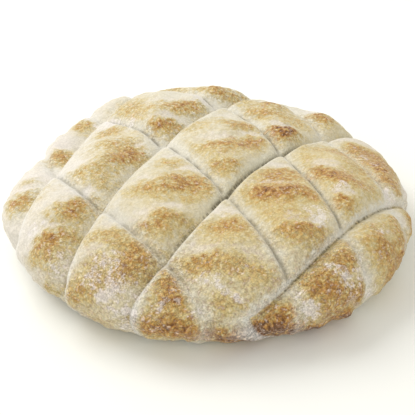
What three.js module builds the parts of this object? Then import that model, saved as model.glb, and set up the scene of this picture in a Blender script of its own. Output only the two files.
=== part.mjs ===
// Lepinja: a round, domed, floury flatbread. It is scored in a lattice before it is baked, and the
// dough between the cuts rises into pillows. Millimetres, +Z up, with the flat base on Z = 0.

import * as THREE from 'three';
import { mergeGeometries, mergeVertices } from 'three/addons/utils/BufferGeometryUtils.js';

const { clamp, degToRad, smoothstep } = THREE.MathUtils;

// Driving dimensions
const RADIUS = 100; // middle to the widest line of the rim, on average
const CROWN_HEIGHT = 43.2; // base to the top of the smooth dome, before the relief
const RIM_HEIGHT = 18.7; // base to the widest line of the rim
const FOOT_RADIUS = 80; // the flat base that it rests on

// The hand-shaped edge: waves round the rim, each with its size and the turn where it is fullest
const EDGE_WAVES = [
  { count: 2, size: 2.3, turn: -118 },
  { count: 3, size: 2.9, turn: -52 },
  { count: 4, size: 2.0, turn: 89 },
  { count: 5, size: 1.9, turn: -144 },
  { count: 6, size: 1.1, turn: -5 },
];

// The slope between crown and rim, fuller on some sides than on others
const SHOULDER_WAVES = [
  { count: 1, size: 2.4, turn: -62 },
  { count: 3, size: 2.8, turn: -98 },
];

// Scoring cuts. Each runs at an angle to +X, at an offset from the middle, and leaves its straight
// line by a bow (one way) and a sway (to either side). The blade was held at a slant: a cut reaches
// further into the dough on one side (above: where the offset grows) than on the other (below).
const LONG_CUTS = [
  { angle: 52, offset: 48.5, bow: 36, sway: 32, depth: 5, above: 15, below: 9 },
  { angle: 56, offset: 15.5, bow: 15.5, sway: 8, depth: 6, above: 16, below: 8 },
  { angle: 50.5, offset: -31.5, bow: 8.5, sway: 7.5, depth: 3.2, above: 9, below: 4 },
  { angle: 38, offset: -74.5, bow: -8, sway: 23.5, depth: 5, above: 8, below: 13 },
];
const CROSS_CUTS = [
  { angle: -63, offset: -45, bow: -17.5, sway: 21, depth: 2.5, above: 12, below: 6 },
  { angle: -57.5, offset: -14.5, bow: 7.5, sway: 1, depth: 2.5, above: 12, below: 6 },
  { angle: -55, offset: 19.5, bow: 20, sway: -17, depth: 2.5, above: 12, below: 6 },
  { angle: -58, offset: 56, bow: 17, sway: -5.5, depth: 2, above: 12, below: 6 },
];
const CUT_ROUNDING = 0.8; // radius at the bottom of a cut
const CUT_FLARE = 2; // how fast a cut's sides ease out into the pillows
const CROSSING_SHARE = 0.7; // of the shallower cut, lost where two cuts cross
const CUT_FADE_START = 0.75; // share of the radius where the cuts begin to grow shallow
const CUT_RIM_SHARE = 0.8; // of a cut's depth, left at the rim

// Each pillow rises in two swellings, one behind the other
const SWELLING_RISE = 3.6;
const SWELLING_SPREAD = 12;
const SWELLING_SPACING = 24;
const SWELLING_AHEAD = 6; // from the pillow's middle to that of the pair, towards the front
const SWELLING_CLEAR = 4; // depth of cut that leaves no swelling
const SWELLING_LIMIT = 0.95; // share of the radius past which the dough stays flat

// Lone knobs round the back edge, where a pillow bulges out over the rim
const KNOBS = [
  { x: -82, y: 44, rise: 3.2, spread: 11 },
  { x: -45, y: 94, rise: 1.5, spread: 11 },
  { x: 15.5, y: 85, rise: 2.4, spread: 13 },
  { x: 62.5, y: 63, rise: 2.8, spread: 11 },
  { x: 90, y: 40, rise: 1.7, spread: 11 },
];

const CRUST_GRID = 76; // squares across the sheet that is wrapped over the dome
const CROSSING_STEPS = 12; // towards the place where two bowed lines cross
const WELD = 0.001; // points closer than this are one

// Half of the loaf's section, from the crown out over the rim and in to the foot, by length
const section = new THREE.CurvePath();
section.add(
  new THREE.EllipseCurve(0, RIM_HEIGHT, RADIUS, CROWN_HEIGHT - RIM_HEIGHT, Math.PI / 2, 0, true),
);
section.add(
  new THREE.EllipseCurve(FOOT_RADIUS, RIM_HEIGHT, RADIUS - FOOT_RADIUS, RIM_HEIGHT, 0, -Math.PI / 2, true),
);

function waveSum(waves, turn) {
  return waves.reduce((sum, w) => sum + w.size * Math.cos(w.count * turn - degToRad(w.turn)), 0);
}

// The cut's own line: its offset at a distance along it. Past the rim it runs on straight.
function cutOffset(cut, along) {
  const share = clamp(along / RADIUS, -1, 1);
  return cut.offset + (cut.bow + cut.sway * share) * (1 - share * share);
}

// A place seen from a cut: how far along it, and how far from its line
function fromCut(cut, x, y) {
  const angle = degToRad(cut.angle);
  const along = x * Math.cos(angle) + y * Math.sin(angle);
  const across = y * Math.cos(angle) - x * Math.sin(angle) - cutOffset(cut, along);
  return { along, across };
}

function cutDepth(cuts, x, y) {
  const depths = cuts.map((cut) => {
    const { across } = fromCut(cut, x, y);
    const distance = Math.hypot(across, CUT_ROUNDING) - CUT_ROUNDING;
    const reach = across > 0 ? cut.above : cut.below;
    return cut.depth * Math.max(0, 1 - distance / reach) ** CUT_FLARE;
  });
  return Math.max(...depths);
}

const deepestCut = Math.max(...LONG_CUTS.map((cut) => cut.depth));

// Bowed lines through the middles of the strips between neighbouring cuts, and outside the outermost ones
function stripLines(cuts) {
  const lines = [...cuts].sort((a, b) => cutOffset(a, 0) - cutOffset(b, 0));
  const [first, last] = [lines[0], lines.at(-1)];
  const step = (cutOffset(last, 0) - cutOffset(first, 0)) / (lines.length - 1);
  lines.unshift({ ...first, offset: first.offset - step });
  lines.push({ ...last, offset: last.offset + step });
  return lines.slice(1).map((line, i) => ({
    angle: (line.angle + lines[i].angle) / 2,
    offset: (line.offset + lines[i].offset) / 2,
    bow: (line.bow + lines[i].bow) / 2,
    sway: (line.sway + lines[i].sway) / 2,
  }));
}

// Where two bowed lines cross: straight lines at their local offsets, crossed again and again
function crossing(a, b) {
  const [angleA, angleB] = [degToRad(a.angle), degToRad(b.angle)];
  const spread = Math.sin(angleB - angleA);
  const at = new THREE.Vector2();
  for (let i = 0; i < CROSSING_STEPS; i++) {
    const offsetA = cutOffset(a, fromCut(a, at.x, at.y).along);
    const offsetB = cutOffset(b, fromCut(b, at.x, at.y).along);
    at.set(
      (offsetA * Math.cos(angleB) - offsetB * Math.cos(angleA)) / spread,
      (offsetA * Math.sin(angleB) - offsetB * Math.sin(angleA)) / spread,
    );
  }
  return at;
}

function makeSwellings() {
  const swellings = [];
  for (const long of stripLines(LONG_CUTS)) {
    for (const cross of stripLines(CROSS_CUTS)) {
      const middle = crossing(long, cross);
      for (const side of [-1, 1]) {
        const shift = (side * SWELLING_SPACING) / 2 - SWELLING_AHEAD;
        const [x, y] = [middle.x, middle.y + shift];
        if (Math.hypot(x, y) < SWELLING_LIMIT * RADIUS) {
          swellings.push({ x, y, rise: SWELLING_RISE, spread: SWELLING_SPREAD });
        }
      }
    }
  }
  return swellings;
}

const swellings = makeSwellings();

// Round bumps, each highest at its own place
function bumpSum(bumps, x, y) {
  return bumps.reduce(
    (sum, b) => sum + b.rise * Math.exp(-((x - b.x) ** 2 + (y - b.y) ** 2) / b.spread ** 2),
    0,
  );
}

// A belt between crown and rim, one at its fullest and nought at both ends
function belt(out) {
  const fullest = 2 / (3 * Math.sqrt(3));
  return (out ** 2 * (1 - out ** 4)) / fullest;
}

// How far the crust stands off the smooth dome. Out: the share of the radius.
function relief(x, y, turn, out) {
  const shoulder = waveSum(SHOULDER_WAVES, turn) * belt(out) + bumpSum(KNOBS, x, y);
  const long = cutDepth(LONG_CUTS, x, y);
  const cross = cutDepth(CROSS_CUTS, x, y);
  const cuts = long + cross - (CROSSING_SHARE * long * cross) / deepestCut;
  const atRim = smoothstep(out, CUT_FADE_START, 1);
  const swelling = bumpSum(swellings, x, y) * Math.max(0, 1 - cuts / SWELLING_CLEAR);
  return shoulder + swelling * (1 - atRim) - cuts * (1 - (1 - CUT_RIM_SHARE) * atRim);
}

// A point of the sheet, a square from -1 to 1, as a turn and a share of the way from crown to foot
function wrap(u, v) {
  const share = Math.max(Math.abs(u), Math.abs(v));
  if (share === 0) return { share, turn: 0 };
  const turn =
    Math.abs(u) > Math.abs(v)
      ? (Math.PI / 4) * (v / u) + (u < 0 ? Math.PI : 0)
      : Math.PI / 2 - (Math.PI / 4) * (u / v) + (v < 0 ? Math.PI : 0);
  return { share, turn };
}

function crustPoint(u, v) {
  const { share, turn } = wrap(u, v);
  const point = section.getPoint(share);
  const tangent = section.getTangent(share);
  const out = point.x / RADIUS;
  const reach = out * (RADIUS + waveSum(EDGE_WAVES, turn));
  const aboveFoot = smoothstep(point.y, 0, RIM_HEIGHT);
  const lift = relief(reach * Math.cos(turn), reach * Math.sin(turn), turn, out) * aboveFoot;
  const lifted = reach - tangent.y * lift;
  return new THREE.Vector3(lifted * Math.cos(turn), lifted * Math.sin(turn), point.y + tangent.x * lift);
}

// The crust: a square sheet wrapped over the dome, down round the rim and in to the foot. Each of its
// squares is split along the diagonal that lies closer to the crust, so that the cuts stay clean.
function crustGeometry() {
  const sheet = new THREE.PlaneGeometry(2, 2, CRUST_GRID, CRUST_GRID);
  const position = sheet.getAttribute('position');
  const flat = position.clone();
  for (let i = 0; i < position.count; i++) {
    const point = crustPoint(flat.getX(i), flat.getY(i));
    position.setXYZ(i, point.x, point.y, point.z);
  }
  const corner = (i) => new THREE.Vector3().fromBufferAttribute(position, i);
  const faces = sheet.getIndex().array;
  for (let i = 0; i < faces.length; i += 6) {
    const [a, b, d, , c] = faces.slice(i, i + 6);
    const middle = crustPoint((flat.getX(a) + flat.getX(c)) / 2, (flat.getY(a) + flat.getY(c)) / 2);
    const gap = (from, to) => corner(from).lerp(corner(to), 0.5).distanceTo(middle);
    if (gap(a, c) < gap(b, d)) faces.set([a, b, c, a, c, d], i);
  }
  return sheet;
}

// The flat base inside the foot, on the crust's own edge points, facing down
function baseGeometry() {
  const edge = [];
  const steps = Array.from({ length: CRUST_GRID }, (_, i) => (2 * i) / CRUST_GRID - 1);
  for (const t of steps) edge.push(crustPoint(t, -1));
  for (const t of steps) edge.push(crustPoint(1, t));
  for (const t of steps) edge.push(crustPoint(-t, 1));
  for (const t of steps) edge.push(crustPoint(-1, -t));
  const base = new THREE.ShapeGeometry(new THREE.Shape(edge.map((p) => new THREE.Vector2(p.x, p.y))));
  const faces = base.getIndex();
  for (let i = 0; i < faces.count; i += 3) {
    const first = faces.getX(i);
    faces.setX(i, faces.getX(i + 1));
    faces.setX(i + 1, first);
  }
  return base;
}

function loafGeometry() {
  const surfaces = [crustGeometry(), baseGeometry()];
  for (const surface of surfaces) {
    surface.deleteAttribute('normal');
    surface.deleteAttribute('uv');
  }
  const loaf = mergeVertices(mergeGeometries(surfaces), WELD);
  loaf.computeBoundingBox();
  const middle = loaf.boundingBox.getCenter(new THREE.Vector3());
  loaf.translate(-middle.x, -middle.y, -loaf.boundingBox.min.z);
  loaf.computeVertexNormals();
  return loaf;
}

const crust = new THREE.MeshStandardMaterial({ color: 0xd9c090, roughness: 0.85, metalness: 0 });

const bread = new THREE.Mesh(loafGeometry(), crust);
bread.name = 'bread';

const lepinja = new THREE.Group();
lepinja.add(bread);

export default lepinja;
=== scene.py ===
import bpy
import math
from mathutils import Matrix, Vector


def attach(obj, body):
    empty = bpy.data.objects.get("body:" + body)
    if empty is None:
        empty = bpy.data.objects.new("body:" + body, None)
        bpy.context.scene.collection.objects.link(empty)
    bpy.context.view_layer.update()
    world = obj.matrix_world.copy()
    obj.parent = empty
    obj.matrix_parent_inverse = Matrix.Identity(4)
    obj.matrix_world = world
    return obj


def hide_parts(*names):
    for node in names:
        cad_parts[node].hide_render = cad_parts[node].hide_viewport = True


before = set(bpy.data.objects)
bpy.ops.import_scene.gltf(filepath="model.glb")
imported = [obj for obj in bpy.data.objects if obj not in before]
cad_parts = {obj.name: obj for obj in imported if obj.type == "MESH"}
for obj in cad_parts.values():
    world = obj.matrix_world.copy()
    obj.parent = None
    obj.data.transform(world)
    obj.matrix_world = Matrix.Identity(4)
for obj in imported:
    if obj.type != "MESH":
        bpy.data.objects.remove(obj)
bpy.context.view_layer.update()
mm = 0.001


# Node helpers. A wire is a node's output, and arithmetic between wires adds Math nodes to its tree.
class Wire:
    def __init__(self, tree, socket):
        self.tree = tree
        self.socket = socket

    def math(self, operation, *others):
        return addNode(self.tree, "ShaderNodeMath", (self, *others), operation=operation)

    def __add__(self, other):
        return self.math("ADD", other)

    def __sub__(self, other):
        return self.math("SUBTRACT", other)

    def __rsub__(self, other):
        return self * -1 + other

    def __mul__(self, other):
        return self.math("MULTIPLY", other)

    def __truediv__(self, other):
        return self.math("DIVIDE", other)

    def __pow__(self, other):
        return self.math("POWER", other)

    def __abs__(self):
        return self.math("ABSOLUTE")

    __radd__ = __add__
    __rmul__ = __mul__


def plug(tree, socket, value):
    if isinstance(value, Wire):
        tree.links.new(value.socket, socket)
    elif value is not None:
        socket.default_value = value


def addNode(tree, kind, inputs=(), output=0, **settings):
    node = tree.nodes.new(kind)
    for name, value in settings.items():
        setattr(node, name, value)
    for key, value in inputs.items() if isinstance(inputs, dict) else enumerate(inputs):
        plug(tree, node.inputs[key], value)
    return Wire(tree, node.outputs[output]) if node.outputs else node


def outputOf(wire, name):
    return Wire(wire.tree, wire.socket.node.outputs[name])


def newTree(name, kind, inputs, outputs):
    tree = bpy.data.node_groups.new(name, kind)
    for label, socketKind in inputs.items():
        tree.interface.new_socket(label, in_out="INPUT", socket_type="NodeSocket" + socketKind)
    for label, socketKind in outputs.items():
        tree.interface.new_socket(label, in_out="OUTPUT", socket_type="NodeSocket" + socketKind)
    start = tree.nodes.new("NodeGroupInput")
    end = tree.nodes.new("NodeGroupOutput")
    given = {label: Wire(tree, start.outputs[label]) for label in inputs}
    return tree, given, end


def floatTree(name, kind, inputs, outputs):
    return newTree(name, kind, dict.fromkeys(inputs, "Float"), dict.fromkeys(outputs, "Float"))


def useTree(tree, group, inputs):
    kind = "GeometryNodeGroup" if tree.bl_idname == "GeometryNodeTree" else "ShaderNodeGroup"
    node = tree.nodes.new(kind)
    node.node_tree = group
    for label, value in inputs.items():
        plug(tree, node.inputs[label], value)
    return {socket.name: Wire(tree, socket) for socket in node.outputs}


def combine(x, y, z):
    tree = next(part.tree for part in (x, y, z) if isinstance(part, Wire))
    return addNode(tree, "ShaderNodeCombineXYZ", (x, y, z))


def separate(vector):
    x = addNode(vector.tree, "ShaderNodeSeparateXYZ", (vector,))
    return x, outputOf(x, "Y"), outputOf(x, "Z")


def vectorMath(operation, first, second):
    return addNode(first.tree, "ShaderNodeVectorMath", (first, second), operation=operation)


def largest(first, second):
    return first.math("MAXIMUM", second)


def hypotenuse(a, b):
    return (a * a + b * b).math("SQRT")


def smoothStep(value, low, high, fromValue=0.0, toValue=1.0):
    inputs = (value, low, high, fromValue, toValue)
    return addNode(value.tree, "ShaderNodeMapRange", inputs, interpolation_type="SMOOTHSTEP")


# Noise from -1 to 1, with features of about a size
def noise(place, size, detail=2.0, roughness=0.5):
    inputs = {"Vector": place, "Scale": 1 / size, "Detail": detail, "Roughness": roughness}
    return addNode(place.tree, "ShaderNodeTexNoise", inputs) * 2 - 1


# Rounded pebbles of about a size, from nought in the gaps to one on their tops
def pebbles(place, size):
    inputs = {"Vector": place, "Scale": 1 / size}
    gap = addNode(place.tree, "ShaderNodeTexVoronoi", inputs, output="Distance")
    return smoothStep(gap, 0.1, 0.75, 1.0, 0.0)


# The loaf: a sheet wrapped over a dome, scored in a lattice. Sizes are in millimetres and turns in degrees.
loaf = {
    "radius": 100,  # middle to the widest line of the rim
    "crownHeight": 43.2,
    "rimHeight": 18.7,  # where the loaf is widest
    "footRadius": 80,  # the flat base
    "cells": 308,  # squares across the sheet
    "baseShare": 0.035,  # of the sheet, closed in under the foot
    "edgeWaves": [  # count, size, peak
        (2, 2.3, -118),
        (3, 2.9, -52),
        (4, 2.0, 89),
        (5, 1.9, -144),
        (6, 1.1, -5),
    ],
    "shoulderWaves": [(1, 2.4, -62), (3, 2.8, -98)],
    "cutRounding": 0.8,
    "cutFlare": 2.0,
    "crossingShare": 0.7,  # of the shallower cut, lost where two cuts cross
    "cutFadeStart": 0.75,  # share of the radius
    "cutRimShare": 0.8,  # of a cut's depth, left at the rim
    "swellingRise": 3.6,
    "swellingSpread": 12,
    "swellingSpacing": 24,
    "swellingAhead": 6,  # from the pillow's middle to that of the pair, towards the front
    "swellingClear": 4.0,  # depth of cut that leaves no swelling
    "swellingLimit": 0.95,  # share of the radius
    "knobs": [  # round the back edge: place, spread both ways, rise
        (-82, 44, 11, 11, 3.2),
        (-45, 94, 11, 11, 1.5),
        (15.5, 85, 13, 13, 2.4),
        (62.5, 63, 11, 11, 2.8),
        (90, 40, 11, 11, 1.7),
    ],
    "creaseWidth": 1.6,
    "creaseDepth": 1.6,
    "lipRise": 0.5,
    "lipPlace": 2.4,  # from the cut
    "lipWidth": 1.6,
    "blisterRise": 1.2,
    "crestFall": 0.9,  # behind a browned patch
    "lumpRise": 2.0,  # low on the side
    "lumpSize": 6.5,
    "lumpStart": (0.68, 0.8),  # share of the way from crown to foot
    "lumpFoot": 5.0,  # height over which the lumps fade to the base
    "creaseWander": (5.0, 0.8),  # size and shift
    "unevenness": [(14.0, 0.6), (5.0, 0.5)],  # size and rise of the dough's own bumps
    "patchStir": [(9.0, 6.0), (3.0, 4.0)],  # size and shift of the noise that makes patches ragged
    "longLineEnd": (0.88, 0.99),  # share of the radius over which the painted shade lines end
    "crossLineEnd": (0.75, 0.95),
    "mergeGap": 0.01,
}

# The torn stretch of the third long cut: where it starts and ends along the cut, and across it
tear = {
    "cut": 2,
    "start": (-32.0, -22.0),
    "end": (42.0, 52.0),
    "edge": (7.0, 9.0),
    "dashStart": (-66.0, -56.0),  # a broken line of painted shade leads up to it
    "dashEnd": (-28.0, -22.0),
}

# Browned patches: a weaker, wider oval round each, a sharper far side, and a scale for all of them
toastShape = {"halo": 0.4, "haloSize": 1.9, "skew": 1.2, "spread": 1.35}
toastStrength = 0.82

# Scoring cuts: angle to +X, offset from the middle, bow, sway, depth, reach on the offset side and on the
# other side, darkness of the painted shade along the cut's line, which also deepens its narrow crease
longCuts = [
    (52, 48.5, 36, 32, 5.0, 15, 9, 0.15),
    (56, 15.5, 15.5, 8, 6.0, 16, 8, 0.5),
    (50.5, -31.5, 8.5, 7.5, 3.2, 9, 4, 0.6),
    (38, -74.5, -8, 23.5, 5.0, 8, 13, 0.8),
]
crossCuts = [
    (-63, -45, -17.5, 21, 2.5, 12, 6, 0.45),
    (-57.5, -14.5, 7.5, 1, 2.5, 12, 6, 0.6),
    (-55, 19.5, 20, -17, 2.5, 12, 6, 0.55),
    (-58, 56, 17, -5.5, 2.0, 12, 6, 0.1),
]

# Browned patches, strip by strip from the back left: place on the crust laid out flat from the crown, half
# length, half width and strength
brownedPatches = [
    (-92, -15, 5, 6, 0.9), (-83, -12, 5, 10, 0.35), (-86, 32, 4, 6, 0.9), (-82, 37, 4, 8, 0.35),
    (-71, 65, 4, 5, 0.85), (-42, 80, 5, 8, 0.4), (-46, 69, 6, 6, 0.4), (-92, 2, 5, 4, 0.35),

    (-72, -81, 8, 4, 0.5), (-84, -72, 4, 4, 0.5), (-76, -52, 5, 4, 0.55), (-72, -62, 5, 4, 0.45),
    (-67, -51, 5, 4, 0.5), (-85, -57, 6, 4, 0.25), (-61, -36, 5, 6, 0.6), (-57, -29, 3, 4, 0.6),
    (-68, -38, 5, 4, 0.4), (-62, -7, 5, 6, 0.5), (-45, 2, 5, 6, 0.5), (-38, 14, 4, 5, 0.85),
    (-42, 8, 5, 4, 0.4), (-48, -14, 4, 7, 0.5), (-46, 20, 8, 10, 0.25), (-55, 43, 7, 6, 0.6),
    (-27, 35, 5, 3, 0.5), (-18, 36, 5, 4, 0.8), (-5, 59, 5, 4, 0.8), (-12, 53, 5, 4, 0.65),
    (-27, 50, 8, 5, 0.4), (-38, 60, 5, 7, 0.4), (18, 84, 8, 5, 0.7), (5, 79, 8, 4, 0.6),
    (20, 68, 5, 6, 0.45), (-8, 30, 5, 8, 0.3), (-18, 84, 5, 5, 0.6), (55, 18, 7, 6, 0.35),
    (28, -14, 6, 5, 0.3), (-58, 22, 6, 8, 0.3), (-44, 26, 5, 7, 0.25), (-60, -99, 6, 4, 0.3),

    (-48, -57, 7, 4, 0.4), (-31, -67, 6, 8, 0.7), (-42, -80, 12, 7, 0.35), (-51, -72, 8, 4, 0.25),
    (-60, -86, 4, 5, 0.2), (-12, -21, 6, 6, 0.75), (-27, -28, 8, 4, 0.55), (-2, -24, 4, 4, 0.45),
    (-27, -52, 8, 4, 0.45), (-17, -47, 6, 4, 0.5), (-20, -4, 4, 4, 0.5), (3, 8, 8, 5, 0.5),
    (22, 17, 6, 4, 0.75), (13, 11, 5, 4, 0.5), (8, -8, 6, 5, 0.55), (12, 36, 7, 5, 0.4),
    (18, 31, 5, 4, 0.4), (37, 31, 5, 4, 0.7), (41, 31, 5, 4, 0.7), (29, 52, 7, 5, 0.55),
    (36, 63, 5, 3, 0.9), (50, 48, 9, 6, 0.4), (65, 59, 6, 5, 0.6), (58, 63, 5, 4, 0.5),

    (-18, -84, 4, 5, 0.6), (-14, -93, 5, 4, 0.65), (-20, -104, 8, 4, 0.7), (-11, -106, 5, 4, 0.55),
    (-32, -102, 6, 4, 0.5), (9, -53, 6, 6, 0.65), (-5, -74, 8, 4, 0.5), (14, -76, 7, 4, 0.3),
    (23, -79, 6, 5, 0.25), (12, -95, 5, 4, 0.45), (2, -112, 6, 3, 0.75), (15, -112, 7, 3, 0.65),
    (32, -19, 9, 5, 0.3), (35, -46, 9, 4, 0.25), (25, -30, 6, 5, 0.6), (36, -31, 7, 5, 0.6),
    (46, -33, 4, 4, 0.25), (37, -56, 7, 4, 0.5), (45, -56, 5, 4, 0.25), (48, 4, 4, 6, 0.3),
    (57, -13, 6, 5, 0.7), (52, -7, 4, 4, 0.45), (67, -19, 6, 5, 0.45), (62, -35, 4, 4, 0.8),
    (37, -12, 5, 4, 0.35), (70, 17, 5, 12, 0.4), (80, 30, 5, 8, 0.5), (88, 10, 5, 9, 0.65),
    (84, -3, 6, 5, 0.5), (93, 26, 5, 9, 0.6),

    (14, -114, 12, 4, 0.35), (-28, -110, 14, 4, 0.12), (49, -108, 12, 5, 0.55), (34, -97, 4, 7, 1.2),
    (31, -108, 5, 6, 1.2), (25, -112, 6, 4, 1.0), (23, -118, 7, 4, 1.0), (47, -105, 7, 5, 0.75),
    (58, -104, 6, 5, 0.65), (62, -106, 9, 4, 0.5), (77, -94, 7, 5, 0.6), (50, -81, 7, 5, 0.5),
    (62, -84, 7, 6, 0.35), (72, -78, 6, 4, 0.55), (52, -67, 5, 6, 0.55), (46, -77, 4, 5, 0.4),
    (60, -57, 4, 5, 0.35), (63, -65, 4, 5, 0.4), (73, -94, 7, 5, 0.6), (80, -53, 7, 5, 0.55),
    (75, -44, 4, 4, 0.4), (91, -62, 5, 6, 0.65), (97, -43, 5, 8, 0.7), (104, -9, 5, 3, 0.5),
    (105, -20, 6, 10, 0.75), (86, -35, 5, 4, 0.35),
]

# Flour left on the crust: place, half length, half width and strength
flouryPatches = [
    (-59, 62, 6, 5, 0.8), (-50, 55, 5, 5, 0.8), (-40, 47, 4, 5, 0.7), (102, 3, 4, 5, 0.9),
    (-42, -107, 5, 4, 0.8), (-46, -88, 5, 4, 0.9), (-38, -98, 6, 4, 1.1), (-54, -80, 4, 4, 0.4),
    (-1, -83, 3, 4, 0.7), (6, -86, 4, 4, 0.8), (12, -93, 3, 3, 0.9), (17, -102, 4, 3, 0.3),
    (49, -47, 5, 6, 0.8), (61, -25, 3, 3, 0.7), (88, -15, 4, 8, 0.8), (84, 18, 3, 8, 0.5),
    (47, -95, 5, 4, 1.1), (41, -87, 3, 3, 0.5), (62, -74, 5, 3, 0.9), (54, -73, 3, 3, 0.6),
    (67, -66, 3, 4, 0.5), (79, -46, 4, 4, 0.5), (82, -76, 6, 4, 0.7), (-21, -97, 4, 5, 0.5),
    (-5, -101, 3, 5, 0.5), (-75, -68, 4, 4, 0.4), (-45, -74, 10, 9, 0.5), (-36, -86, 8, 6, 0.5),
    (-82, -45, 7, 8, 0.45), (-68, -64, 7, 6, 0.4), (16, -78, 6, 5, 0.35), (66, -80, 6, 6, 0.35),
]


def roundWaveTree():
    tree, given, end = floatTree("roundWave", "GeometryNodeTree", ["Turn", "Count", "Size", "Peak"], ["Wave"])
    wave = (given["Turn"] * given["Count"] - given["Peak"]).math("COSINE") * given["Size"]
    plug(tree, end.inputs["Wave"], wave)
    return tree


def scoringCutTree():
    names = ["X", "Y", "Radius", "Rounding", "Flare"]
    names += ["Angle", "Offset", "Bow", "Sway", "Depth", "Near", "Far"]
    tree, given, end = floatTree("scoringCut", "GeometryNodeTree", names, ["Across", "Along", "Sunk"])
    cosine = given["Angle"].math("COSINE")
    sine = given["Angle"].math("SINE")
    along = given["X"] * cosine + given["Y"] * sine
    share = (along / given["Radius"]).math("MINIMUM", 1.0).math("MAXIMUM", -1.0)
    bend = (given["Bow"] + given["Sway"] * share) * (1 - share * share)
    across = given["Y"] * cosine - given["X"] * sine - given["Offset"] - bend
    distance = hypotenuse(across, given["Rounding"]) - given["Rounding"]
    reach = given["Far"] + (given["Near"] - given["Far"]) * across.math("GREATER_THAN", 0.0)
    sunk = given["Depth"] * largest(1 - distance / reach, 0.0) ** given["Flare"]
    plug(tree, end.inputs["Across"], across)
    plug(tree, end.inputs["Along"], along)
    plug(tree, end.inputs["Sunk"], sunk)
    return tree


# A soft oval patch, strongest at its middle, with a weaker and wider one round it, and a rim just beyond
# its far edge
def patchTree(rimPlace=1.3, rimNarrowing=1.8):
    names = ["X", "Y", "At X", "At Y", "Length", "Width", "Strength", "Halo", "Halo Size", "Skew"]
    tree, given, end = floatTree("softPatch", "GeometryNodeTree", names, ["Patch", "Rim"])
    along = (given["X"] - given["At X"]) / given["Length"]
    across = (given["Y"] - given["At Y"]) / given["Width"]
    beyond = (across - rimPlace) * rimNarrowing
    rim = ((along * along + beyond * beyond) * -1).math("EXPONENT")
    plug(tree, end.inputs["Rim"], rim * given["Strength"])
    across = across * (across.math("GREATER_THAN", 0.0) * given["Skew"] + 1)
    far = (along * along + across * across) * -1
    heart = far.math("EXPONENT") * (1 - given["Halo"])
    halo = (far / given["Halo Size"] ** 2).math("EXPONENT") * given["Halo"]
    plug(tree, end.inputs["Patch"], (heart + halo) * given["Strength"])
    return tree


# Half of the loaf's section as a curve from crown to rim to foot, out along X
def sectionCurve(tree, given, points=600, topShare=0.8):
    line = addNode(tree, "GeometryNodeCurvePrimitiveLine")
    line = addNode(tree, "GeometryNodeResampleCurve", {"Curve": line, "Count": points})
    along = addNode(tree, "GeometryNodeSplineParameter")
    topTurn = (along / topShare).math("MINIMUM", 1.0) * (math.pi / 2)
    lowTurn = largest((along - topShare) / (1 - topShare), 0.0) * (math.pi / 2)
    tuckedIn = (given["Radius"] - given["Foot Radius"]) * (1 - lowTurn.math("COSINE"))
    outward = given["Radius"] * topTurn.math("SINE") - tuckedIn
    dome = (given["Crown Height"] - given["Rim Height"]) * topTurn.math("COSINE")
    height = given["Rim Height"] * (1 - lowTurn.math("SINE")) + dome
    section = combine(outward, 0.0, height)
    return addNode(tree, "GeometryNodeSetPosition", {"Geometry": line, "Position": section})


def cutOffset(cut, along):
    share = max(-1, min(1, along / loaf["radius"]))
    return cut[1] + (cut[2] + cut[3] * share) * (1 - share * share)


# Bowed lines through the middles of the strips between neighbouring cuts, and outside the outermost ones
def stripLines(cuts):
    lines = sorted((list(cut[:4]) for cut in cuts), key=lambda line: cutOffset(line, 0))
    step = (cutOffset(lines[-1], 0) - cutOffset(lines[0], 0)) / (len(lines) - 1)
    before, after = list(lines[0]), list(lines[-1])
    before[1] -= step
    after[1] += step
    lines = [before, *lines, after]
    return [[(a + b) / 2 for a, b in zip(one, other)] for one, other in zip(lines, lines[1:])]


# Where two bowed lines cross: straight lines at their local offsets, crossed again and again
def crossing(one, other, steps=12):
    x = y = 0.0
    angleOne, angleOther = math.radians(one[0]), math.radians(other[0])
    spread = math.sin(angleOther - angleOne)
    for step in range(steps):
        offsetOne = cutOffset(one, x * math.cos(angleOne) + y * math.sin(angleOne))
        offsetOther = cutOffset(other, x * math.cos(angleOther) + y * math.sin(angleOther))
        x = (offsetOne * math.cos(angleOther) - offsetOther * math.cos(angleOne)) / spread
        y = (offsetOne * math.sin(angleOther) - offsetOther * math.sin(angleOne)) / spread
    return x, y


# Each pillow rises in two swellings, one behind the other
def swellingCentres():
    centres = []
    for longStrip in stripLines(longCuts):
        for crossStrip in stripLines(crossCuts):
            x, y = crossing(longStrip, crossStrip)
            for side in (-1, 1):
                centre = (x, y + side * loaf["swellingSpacing"] / 2 - loaf["swellingAhead"])
                if math.hypot(*centre) < loaf["swellingLimit"] * loaf["radius"]:
                    centres.append(centre)
    return centres


def waveSum(tree, group, waves, turn):
    total = 0.0
    for count, size, peak in waves:
        values = {"Turn": turn, "Count": count, "Size": size, "Peak": math.radians(peak)}
        total = useTree(tree, group, values)["Wave"] + total
    return total


# All the patches of a list together, and all their far rims
def patchSum(tree, group, patches, x, y, halo=0.0, haloSize=1.0, skew=0.0, spread=1.0):
    total = rims = 0.0
    for atX, atY, length, width, strength in patches:
        values = {"X": x, "Y": y, "At X": atX, "At Y": atY, "Strength": strength}
        values.update({"Length": length * spread, "Width": width * spread})
        values.update({"Halo": halo, "Halo Size": haloSize, "Skew": skew})
        made = useTree(tree, group, values)
        total = made["Patch"] + total
        rims = made["Rim"] + rims
    return total, rims
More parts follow.
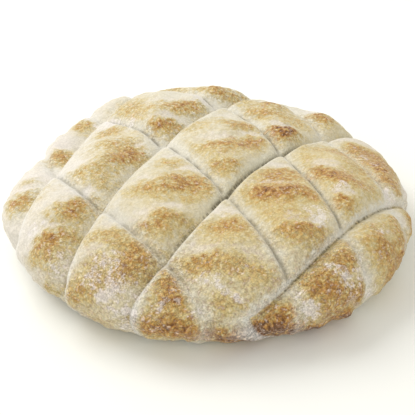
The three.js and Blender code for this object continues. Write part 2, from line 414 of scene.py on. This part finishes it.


# The depth of the deepest cut, a distance that is nought on each cut and runs to and fro between them, the
# darkness of the painted shade along the nearest cut's line, the side of it, from -1 to 1 on its gentler
# slope, and each cut
def cutFamily(tree, group, cuts, x, y, given):
    sunk = nearest = line = side = None
    made = []
    for number, (angle, offset, bow, sway, depth, near, far, darkness) in enumerate(cuts):
        values = {"X": x, "Y": y, "Radius": given["Radius"], "Rounding": given["Cut Rounding"]}
        values.update({"Flare": given["Cut Flare"], "Angle": math.radians(angle), "Offset": offset})
        values.update({"Bow": bow, "Sway": sway, "Depth": depth, "Near": near, "Far": far})
        cut = useTree(tree, group, values)
        made.append(cut)
        across = cut["Across"] * (-1 if number % 2 else 1)
        gentle = (cut["Across"] * (1 if near > far else -1)).math("MINIMUM", 1.0).math("MAXIMUM", -1.0)
        if sunk is None:
            sunk, nearest, line, side = cut["Sunk"], across, darkness, gentle
        else:
            closer = abs(across).math("LESS_THAN", abs(nearest))
            nearest = nearest + (across - nearest) * closer
            line = line + (darkness - line) * closer
            side = side + (gentle - side) * closer
            sunk = largest(sunk, cut["Sunk"])
    return sunk, nearest, line, side, made


def loafTree():
    sizes = ["Radius", "Crown Height", "Rim Height", "Foot Radius", "Cut Rounding", "Cut Flare"]
    inputs = {"Sheet": "Geometry", "Cells": "Int", **dict.fromkeys(sizes, "Float"), "Crust": "Material"}
    tree, given, end = newTree("loafForm", "GeometryNodeTree", inputs, {"Loaf": "Geometry"})
    wave = roundWaveTree()
    scoring = scoringCutTree()
    patch = patchTree()

    # the sheet, a square from -1 to 1, as a turn about the crown and a share of the way to the foot
    count = given["Cells"] + 1
    sheet = addNode(tree, "GeometryNodeMeshGrid", (2.0, 2.0, count, count))
    u, v = separate(addNode(tree, "GeometryNodeInputPosition"))[:2]
    share = largest(abs(u), abs(v))
    wide = abs(u).math("GREATER_THAN", abs(v))
    sideTurn = v / u * (math.pi / 4) + u.math("LESS_THAN", 0.0) * math.pi
    frontTurn = math.pi / 2 - u / v * (math.pi / 4) + v.math("LESS_THAN", 0.0) * math.pi
    turn = sideTurn * wide + frontTurn * (1 - wide)
    crustShare = (share / (1 - loaf["baseShare"])).math("MINIMUM", 1.0)
    underShare = largest((share - (1 - loaf["baseShare"])) / loaf["baseShare"], 0.0)

    # the smooth dome
    section = addNode(
        tree,
        "GeometryNodeSampleCurve",
        {"Curves": sectionCurve(tree, given), "Factor": crustShare},
        output="Position",
        mode="FACTOR",
    )
    outward, flat, height = separate(section)
    slopeOut, flat, slopeUp = separate(outputOf(section, "Tangent"))
    edge = waveSum(tree, wave, loaf["edgeWaves"], turn) / given["Radius"] + 1
    reach = outward * edge
    x = reach * turn.math("COSINE")
    y = reach * turn.math("SINE")

    # relief: shoulders, swellings and cuts
    outShare = outward / given["Radius"]
    belt = outShare**2 * (1 - outShare**4) * (1.5 * math.sqrt(3))  # one at its fullest
    shoulder = waveSum(tree, wave, loaf["shoulderWaves"], turn) * belt
    shoulder = shoulder + patchSum(tree, patch, loaf["knobs"], x, y)[0]
    longSunk, longCut, longLine, longSide, longMade = cutFamily(tree, scoring, longCuts, x, y, given)
    crossSunk, crossCut, crossLine, crossSide = cutFamily(tree, scoring, crossCuts, x, y, given)[:4]
    crossLine = crossLine * smoothStep(longMade[-1]["Across"], -2.0, 2.0)  # not beyond the last long cut
    deepest = max(cut[4] for cut in longCuts)
    sunk = longSunk + crossSunk - longSunk * crossSunk * (loaf["crossingShare"] / deepest)
    spread = loaf["swellingSpread"]
    centres = [(*centre, spread, spread, loaf["swellingRise"]) for centre in swellingCentres()]
    atRim = smoothStep(outShare, loaf["cutFadeStart"], 1.0)
    clear = largest(1 - sunk / loaf["swellingClear"], 0.0)
    swelling = patchSum(tree, patch, centres, x, y)[0] * clear * (1 - atRim)
    relief = shoulder + swelling - sunk * (1 - atRim * (1 - loaf["cutRimShare"]))

    # the crust laid out flat, and what is on it
    laidOut = crustShare * crustLength()
    place = combine(x, y, height)
    elsewhere = vectorMath("ADD", place, (50, 20, 80))
    laidX = laidOut * turn.math("COSINE")
    laidY = laidOut * turn.math("SINE")
    for size, shift in loaf["patchStir"]:
        laidX = laidX + noise(place, size) * shift
        laidY = laidY + noise(elsewhere, size) * shift
    toast, farRim = patchSum(tree, patch, brownedPatches, laidX, laidY, **toastShape)
    toast = toast * toastStrength
    flour = patchSum(tree, patch, flouryPatches, laidX, laidY)[0]

    # narrow creases along the cuts, blistered rises where it browned, small unevenness of the dough
    narrow = loaf["creaseWidth"]
    wanderSize, wanderShift = loaf["creaseWander"]
    wander = noise(place, wanderSize) * wanderShift
    longCrease = (((longCut + wander) / narrow) ** 2 * -1).math("EXPONENT")
    crossCrease = (((crossCut + wander) / narrow) ** 2 * -1).math("EXPONENT")
    tearAlong = longMade[tear["cut"]]["Along"]
    tearAcross = longMade[tear["cut"]]["Across"]
    torn = smoothStep(tearAlong, *tear["start"]) * smoothStep(tearAlong, *tear["end"], 1.0, 0.0)
    torn = torn * smoothStep(abs(tearAcross), *tear["edge"], 1.0, 0.0)
    crease = largest(longCrease * longLine * (1 + torn), crossCrease * crossLine) * loaf["creaseDepth"]
    longLip = (((abs(longCut) - loaf["lipPlace"]) / loaf["lipWidth"]) ** 2 * -1).math("EXPONENT")
    crossLip = (((abs(crossCut) - loaf["lipPlace"]) / loaf["lipWidth"]) ** 2 * -1).math("EXPONENT")
    longLip = longLip * smoothStep(longSide, -1.0, 0.0, 1.0, 0.0)
    crossLip = crossLip * smoothStep(crossSide, -1.0, 0.0, 1.0, 0.0)
    lip = largest(longLip, crossLip) * loaf["lipRise"] * (1 - atRim)
    bumps = sum(noise(place, size) * rise for size, rise in loaf["unevenness"])
    crests = toast * loaf["blisterRise"] - farRim * loaf["crestFall"]
    relief = relief + bumps + crests - crease + lip

    # lumps low on the side, and the whole relief fading to the base
    lumps = noise(place, loaf["lumpSize"], 1.0) * loaf["lumpRise"]
    lumps = lumps * smoothStep(crustShare, *loaf["lumpStart"]) * smoothStep(height, 0.0, loaf["lumpFoot"])
    lift = relief * smoothStep(height, 0.0, given["Rim Height"]) + lumps
    inward = 1 - underShare
    standOut = (reach - slopeUp * lift) * inward
    formed = combine(standOut * turn.math("COSINE"), standOut * turn.math("SINE"), height + slopeOut * lift)
    marks = {
        "toast": toast,
        "flour": flour,
        "farRim": farRim,
        "longCut": longCut,
        "crossCut": crossCut,
        "longLine": longLine * smoothStep(outShare, *loaf["longLineEnd"], 1.0, 0.0),
        "crossLine": crossLine * smoothStep(outShare, *loaf["crossLineEnd"], 1.0, 0.0),
        "longSide": longSide,
        "crossSide": crossSide,
        "torn": torn,
        "tearAcross": tearAcross,
        "tearAlong": tearAlong,
    }
    for name, value in marks.items():
        stored = {"Geometry": sheet, "Name": name, "Value": value}
        sheet = addNode(tree, "GeometryNodeStoreNamedAttribute", stored)
    body = addNode(tree, "GeometryNodeSetPosition", {"Geometry": sheet, "Position": formed})
    body = addNode(tree, "GeometryNodeMergeByDistance", {"Geometry": body, "Distance": loaf["mergeGap"]})

    # the middle of its box goes to the origin, and millimetres become metres
    low = addNode(tree, "GeometryNodeBoundBox", {"Geometry": body}, output="Min")
    middle = vectorMath("MULTIPLY", vectorMath("ADD", low, outputOf(low, "Max")), (0.5, 0.5, 0.0))
    placed = vectorMath("SUBTRACT", addNode(tree, "GeometryNodeInputPosition"), middle)
    placed = vectorMath("MULTIPLY", placed, (mm, mm, mm))
    body = addNode(tree, "GeometryNodeSetPosition", {"Geometry": body, "Position": placed})
    body = addNode(tree, "GeometryNodeSetShadeSmooth", {"Geometry": body})
    body = addNode(tree, "GeometryNodeRealizeInstances", {"Geometry": body})
    body = addNode(tree, "GeometryNodeSetMaterial", {"Geometry": body, "Material": given["Crust"]})
    plug(tree, end.inputs["Loaf"], body)
    return tree


# Length of the section from crown to foot, by small steps
def crustLength(steps=400):
    def ellipseArc(across, up):
        turns = [math.pi / 2 * step / steps for step in range(steps + 1)]
        points = [(across * math.sin(turn), up * math.cos(turn)) for turn in turns]
        return sum(math.dist(a, b) for a, b in zip(points, points[1:]))

    top = ellipseArc(loaf["radius"], loaf["crownHeight"] - loaf["rimHeight"])
    return top + ellipseArc(loaf["radius"] - loaf["footRadius"], loaf["rimHeight"])


# A tree's result as a plain mesh object
def meshFromTree(name, tree, inputs):
    holder = bpy.data.objects.new(name + "Maker", bpy.data.meshes.new(name + "Maker"))
    bpy.context.scene.collection.objects.link(holder)
    modifier = holder.modifiers.new(name, "NODES")
    modifier.node_group = tree
    for item in tree.interface.items_tree:
        if item.name in inputs:
            modifier[item.identifier] = inputs[item.name]
    seen = holder.evaluated_get(bpy.context.evaluated_depsgraph_get())
    mesh = bpy.data.meshes.new_from_object(seen)
    holder.modifiers.remove(modifier)
    bpy.data.objects.remove(holder)
    mesh.name = name
    piece = bpy.data.objects.new(name, mesh)
    bpy.context.scene.collection.objects.link(piece)
    return piece


# Colours
def paint(code):
    parts = [int(code[i : i + 2], 16) / 255 for i in (1, 3, 5)]
    return (*[part / 12.92 if part <= 0.04045 else ((part + 0.055) / 1.055) ** 2.4 for part in parts], 1.0)


def mixColour(factor, first, second):
    return addNode(
        factor.tree,
        "ShaderNodeMix",
        {0: factor, 6: first, 7: second},
        output=2,
        data_type="RGBA",
    )


def attribute(tree, name):
    return addNode(tree, "ShaderNodeAttribute", output="Fac", attribute_name=name)


def colourRamp(factor, stops):
    ramp = addNode(factor.tree, "ShaderNodeValToRGB", (factor,))
    band = ramp.socket.node.color_ramp
    while len(band.elements) < len(stops):
        band.elements.new(0.5)
    for element, (place, code) in zip(band.elements, stops):
        element.position = place
        element.color = paint(code)
    return ramp


crust = {
    "bake": [
        (0.0, "#f8f4ec"),
        (0.2, "#e9e2cb"),
        (0.38, "#ddc98f"),
        (0.55, "#d1a95f"),
        (0.75, "#be8842"),
        (1.0, "#7c512b"),
    ],
    "flour": "#fdf6f3",
    "dust": "#f4e5d9",
    "rosy": "#cda184",
    # pale pinkish dough, on the far rims of the patches and on the left, where it is also painted light from
    # the lamp's side
    "pink": "#f7efe8",
    "grain": "#b58b66",
    # pale dough of a cut's lip, whitened as a painted highlight
    "lip": "#f7f7f2",
    # painted shade on the slope beside a cut
    "shade": "#b9b391",
    # painted shade in the bottoms of the cuts and in the torn cut's fissure
    "crease": "#6f664c",
    # pale torn crumb, made paler as painted light on the shaded torn slope
    "tear": "#e6e3cf",
    "grainSize": 0.8,  # millimetres, as all sizes here
    "cragSizes": (1.9, 1.0),
    "blisterSize": 2.6,
    "wrinkleSize": 2.2,
    "speckSize": 1.5,
    "blotchSize": 8.0,
    "rosySize": 1.7,
    "streakSize": 1.5,
    "stripTurn": -52,  # degrees, brings the strips along X
    "farRimShare": 0.55,
    "rosyShare": 0.3,
    "lipHighlightShare": 0.7,
    "shadeShare": 0.06,
    "flourShare": 0.7,
    "dustShare": 0.45,
    "tornShadeShare": 0.8,
    "cragShading": 0.42,
    "grainDepth": 0.13,
    "brightness": 0.83,
    "bumpHeight": 0.0004,  # metres
    "roughness": 0.8,
    "specular": 0.25,
    "sheen": 0.2,
    "sheenRoughness": 0.5,
}

# Where the crust changes over the loaf, in millimetres backward or rightward from its middle, or up
zones = {
    "front": (-90.0, -40.0),
    "paleRims": (-95.0, -60.0),
    "left": (-90.0, -20.0),
    "back": (-20.0, 40.0),
    "low": (10.0, 32.0),
    "frontToBack": (-60.0, 60.0),
}


# Strong noise, past -1 and 1 at its extremes
def mottle(place, size, detail=2.0, roughness=0.5, contrast=2.5):
    return noise(place, size, detail, roughness) * contrast


def scaleColour(colour, factor):
    return addNode(colour.tree, "ShaderNodeVectorMath", {0: colour, "Scale": factor}, operation="SCALE")


def crustMaterial():
    material = bpy.data.materials.new("crust")
    material.use_nodes = True
    tree = material.node_tree
    tree.nodes.clear()
    place = addNode(tree, "ShaderNodeTexCoord", output="Object")
    place = addNode(tree, "ShaderNodeMapping", {"Vector": place, "Scale": (1000, 1000, 1000)})  # millimetres
    grain = mottle(place, crust["grainSize"], 1.0)
    stir = addNode(tree, "ShaderNodeTexNoise", {"Vector": place, "Scale": 0.4, "Detail": 2.0}, output="Color")
    stirred = vectorMath("ADD", place, scaleColour(stir, 3.0))
    stripTurn = (0, 0, math.radians(crust["stripTurn"]))
    stirred = addNode(tree, "ShaderNodeMapping", {"Vector": stirred, "Rotation": stripTurn})
    stirred = vectorMath("MULTIPLY", stirred, (0.8, 1, 1))  # drawn out along the strips
    crag = sum(pebbles(stirred, size) * 0.5 for size in crust["cragSizes"]) - 0.5
    blister = mottle(place, crust["blisterSize"])
    creased = vectorMath("MULTIPLY", vectorMath("ADD", place, scaleColour(stir, 4.0)), (0.3, 1, 1))
    wrinkle = 1 - abs(noise(creased, crust["wrinkleSize"], 1.0)) * 5
    speck = mottle(place, crust["speckSize"], 2.0, 0.6)
    blotch = mottle(place, crust["blotchSize"], 3.0, 0.6, 2.0)

    # pale dough beside the cuts, straw tops between them, brown patches
    longGap = abs(attribute(tree, "longCut"))
    crossGap = abs(attribute(tree, "crossCut"))
    longSide = attribute(tree, "longSide")
    crossSide = attribute(tree, "crossSide")
    inner = smoothStep(longGap + blotch * 1.5, 1.0, 12.0) * smoothStep(crossGap + blotch, 0.5, 8.0)
    toast = attribute(tree, "toast")
    rightward, backward, up = separate(place)
    front = smoothStep(backward, *zones["front"], 0.5, 0.0)
    rough = smoothStep(toast + blotch * 0.1, 0.05, 0.6, 0.4, 1.1) + front
    ragged = toast * (1 + blister * 0.45 + wrinkle * 0.2 - speck * 0.3 - crag * 0.3)
    # browner towards the front and paler towards the back left: partly a bake tone, partly painted shade and
    # light that follow the key lamp at the back left
    bakeAndLightTrend = smoothStep(backward - rightward * 0.9, *zones["frontToBack"], 0.2, 0.09)
    backSide = smoothStep(up + blotch * 5, *zones["low"], 0.2, 0.0) * smoothStep(backward, *zones["back"])
    baked = inner * 0.05 + ragged * (inner * 0.15 + 0.42) + blotch * 0.04 + bakeAndLightTrend + backSide
    colour = colourRamp(baked, crust["bake"])

    # pale far rims of the patches, pinkish dough on the left whitened further as painted light on the lamp's
    # side, rosy grains among the ochre
    farRim = smoothStep(attribute(tree, "farRim") + blister * 0.15 - toast * 1.2, 0.0, 0.5)
    farRim = farRim * smoothStep(backward, *zones["paleRims"])
    colour = mixColour(farRim * crust["farRimShare"], colour, paint(crust["pink"]))
    pink = smoothStep(rightward + blotch * 10, *zones["left"], 0.5, 0.0)
    pink = pink * smoothStep(toast, 0.05, 0.35, 1.0, 0.0)
    colour = mixColour(pink, colour, paint(crust["pink"]))
    rosy = mottle(vectorMath("ADD", place, (30, 60, 90)), crust["rosySize"], 1.0)
    rosy = smoothStep(rosy, 0.0, 0.9) * smoothStep(toast, 0.1, 0.7)
    colour = mixColour(rosy * crust["rosyShare"], colour, paint(crust["rosy"]))

    # toasted grains along the front
    toasted = smoothStep(speck * 0.6 + blister * 0.6 - crag * 0.5, 0.0, 0.9) * front
    colour = mixColour(toasted, colour, paint(crust["grain"]))

    # a pale lip on one side of a cut, whitened further as a painted highlight where the lamp would light it,
    # and painted shade on the slope on the other side
    longLine = attribute(tree, "longLine")
    torn = attribute(tree, "torn")
    longLip = smoothStep(longGap + blister * 0.8, 1.0, 8 - longLine * 5, 1.0, 0.0)
    longLip = longLip * smoothStep(longSide, -1.0, 0.0, 1.0, 0.0)
    longLip = longLip * (1 - torn * 0.7)
    crossLip = smoothStep(crossGap + blister * 0.8, 0.5, 5.5, 1.0, 0.0)
    crossLip = crossLip * smoothStep(crossSide, -1.0, 0.0, 0.6, 0.4)
    colour = mixColour(largest(longLip, crossLip) * crust["lipHighlightShare"], colour, paint(crust["lip"]))
    longShade = smoothStep(longGap + blister * 0.8, 0.0, 7.0, 1.0, 0.0) * smoothStep(longSide, 0.0, 1.0)
    longShade = longShade * (1 - torn * 0.8)
    crossShade = smoothStep(crossGap + blister * 0.5, 0.0, 4.0, 1.0, 0.0) * smoothStep(crossSide, 0.0, 1.0)
    colour = mixColour(largest(longShade, crossShade) * crust["shadeShare"], colour, paint(crust["shade"]))

    # the torn cut's streaked slope: pale torn crumb, made paler as painted light that lifts the shade on the
    # slope
    tearAcross = attribute(tree, "tearAcross")
    tearAlong = attribute(tree, "tearAlong")
    streakPlace = combine(tearAlong, tearAcross * 0.25, 0.0)
    streak = mottle(streakPlace, crust["streakSize"])
    tornSlopePaintedLight = smoothStep(tearAcross + streak * 1.5, 2.0, 6.0, 1.0, 0.0)
    tornSlopePaintedLight = tornSlopePaintedLight * smoothStep(tearAcross, -0.5, 0.5)
    colour = mixColour(tornSlopePaintedLight * torn * (streak * 0.3 + 0.7), colour, paint(crust["tear"]))

    # flour left on the crust
    flour = attribute(tree, "flour")
    dusting = smoothStep(grain * 0.25 + blister * 0.5 + flour * 1.3, 0.2, 1.1)
    dusting = dusting * smoothStep(flour, 0.05, 0.3)
    colour = mixColour(dusting * crust["flourShare"], colour, paint(crust["flour"]))

    # painted shade in the bottoms of the cuts, and at the torn cut's foot with broken dashes of painted shade
    # leading up to it
    lineWidth = torn * (smoothStep(streak, 0.0, 0.8) * 1.2 + 0.4) + 0.8
    longCreaseShade = smoothStep(longGap + blister * 0.4, lineWidth * 0.1, lineWidth, 1.0, 0.0) * longLine
    longCreaseShade = longCreaseShade * smoothStep(streak, -0.4, 0.4, 0.35, 1.0)
    crossCreaseShade = smoothStep(crossGap + blister * 0.25, 0.1, 1.7, 1.0, 0.0) * attribute(tree, "crossLine")
    crossCreaseShade = crossCreaseShade * smoothStep(longGap + blotch, 0.5, 4.0) * smoothStep(blotch, -0.5, 0.3, 0.4, 1.0)
    tornFoot = smoothStep(tearAcross + streak * 0.5, 0.9, 2.2, 1.0, 0.0)
    tornFoot = tornFoot * smoothStep(tearAcross, -1.5, -0.5)
    dashes = smoothStep(tearAlong, *tear["dashStart"]) * smoothStep(tearAlong, *tear["dashEnd"], 1.0, 0.0)
    dashes = dashes * smoothStep(streak, 0.05, 0.35, 0.0, 0.7) * smoothStep(tearAcross, 1.0, 1.6, 1.0, 0.0)
    broken = torn * smoothStep(streak, -0.6, 0.3, 0.3, 1.0) + dashes
    tornCreaseShade = tornFoot * broken * crust["tornShadeShare"]
    creaseShade = largest(largest(longCreaseShade, crossCreaseShade), tornCreaseShade)

    # rough pebbly crust, strongest where it browned, with floury tops, painted shade in the gaps between the
    # pebbles and painted light on their tops
    dusty = smoothStep(speck * 0.8 + crag * 0.5 + blister * 0.6 + blotch * 0.3, 0.2, 1.1)
    colour = mixColour(dusty * (rough - front * 0.6) * crust["dustShare"], colour, paint(crust["dust"]))
    colour = mixColour(creaseShade, colour, paint(crust["crease"]))
    # painted shade and light that follow the bump: darker in the pebbles' gaps, lighter on their tops, and
    # varied with the grain
    depth = rough * (crag * crust["cragShading"] + grain * crust["grainDepth"])
    colour = scaleColour(colour, (depth + 1) * crust["brightness"])

    relief = {"Strength": 1.0, "Distance": crust["bumpHeight"], "Height": crag * rough}
    surface = {
        "Base Color": colour,
        "Roughness": crust["roughness"],
        "Specular IOR Level": crust["specular"],
        "Sheen Weight": crust["sheen"],
        "Sheen Roughness": crust["sheenRoughness"],
        "Normal": addNode(tree, "ShaderNodeBump", relief),
    }
    shader = addNode(tree, "ShaderNodeBsdfPrincipled", surface)
    addNode(tree, "ShaderNodeOutputMaterial", {"Surface": shader})
    return material


def makeLoaf():
    sizes = {
        "Cells": loaf["cells"],
        "Radius": loaf["radius"],
        "Crown Height": loaf["crownHeight"],
        "Rim Height": loaf["rimHeight"],
        "Foot Radius": loaf["footRadius"],
        "Cut Rounding": loaf["cutRounding"],
        "Cut Flare": loaf["cutFlare"],
        "Crust": crustMaterial(),
    }
    piece = meshFromTree("breadCrust", loafTree(), sizes)
    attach(piece, "root")
    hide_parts("bread")
    print("loaf made,", len(piece.data.polygons), "faces")


# Stage: a plain pale floor, soft studio light from the back left, and the camera
stage = {
    "floor": "#f6f7f3",
    "floorSize": 6.0,
    "floorRoughness": 0.9,
    "world": 0.72,
    "worldColour": (1.0, 0.985, 0.935, 1),
    "lightColour": (1.0, 0.985, 0.985),
    "keyPlace": (-0.8, 0.7, 1.0),
    "keySize": 1.2,
    "keyPower": 16.0,
    "fillPlace": (0.3, -1.3, 0.8),
    "fillSize": 1.6,
    "fillPower": 4.5,
}
view = {
    "place": (0.5, -487.7, 354.7),  # millimetres
    "aim": (0.5, 0.5, 12.0),
    "fieldOfView": 20,
}


def aimAt(thing, target):
    thing.rotation_euler = (Vector(target) - thing.location).to_track_quat("-Z", "Y").to_euler()


def makeStage():
    half = stage["floorSize"] / 2
    mesh = bpy.data.meshes.new("floor")
    corners = [(-half, -half, 0), (half, -half, 0), (half, half, 0), (-half, half, 0)]
    mesh.from_pydata(corners, [], [(0, 1, 2, 3)])
    floor = bpy.data.objects.new("floor", mesh)
    bpy.context.scene.collection.objects.link(floor)
    material = bpy.data.materials.new("floor")
    material.use_nodes = True
    shader = material.node_tree.nodes["Principled BSDF"]
    shader.inputs["Base Color"].default_value = paint(stage["floor"])
    shader.inputs["Roughness"].default_value = stage["floorRoughness"]
    shader.inputs["Specular IOR Level"].default_value = 0.0
    mesh.materials.append(material)

    world = bpy.data.worlds.new("studio")
    world.use_nodes = True
    world.node_tree.nodes["Background"].inputs["Color"].default_value = stage["worldColour"]
    world.node_tree.nodes["Background"].inputs["Strength"].default_value = stage["world"]
    bpy.context.scene.world = world

    for name in ("key", "fill"):
        light = bpy.data.lights.new(name, "AREA")
        light.size = stage[name + "Size"]
        light.energy = stage[name + "Power"]
        light.color = stage["lightColour"]
        lamp = bpy.data.objects.new(name, light)
        lamp.location = stage[name + "Place"]
        aimAt(lamp, (0, 0, 0))
        bpy.context.scene.collection.objects.link(lamp)

    lens = bpy.data.cameras.new("camera")
    lens.angle = math.radians(view["fieldOfView"])
    camera = bpy.data.objects.new("camera", lens)
    camera.location = Vector(view["place"]) * mm
    aimAt(camera, Vector(view["aim"]) * mm)
    bpy.context.scene.collection.objects.link(camera)
    bpy.context.scene.camera = camera
    bpy.context.scene.view_settings.view_transform = "Standard"
    print("stage made")


makeStage()
makeLoaf()
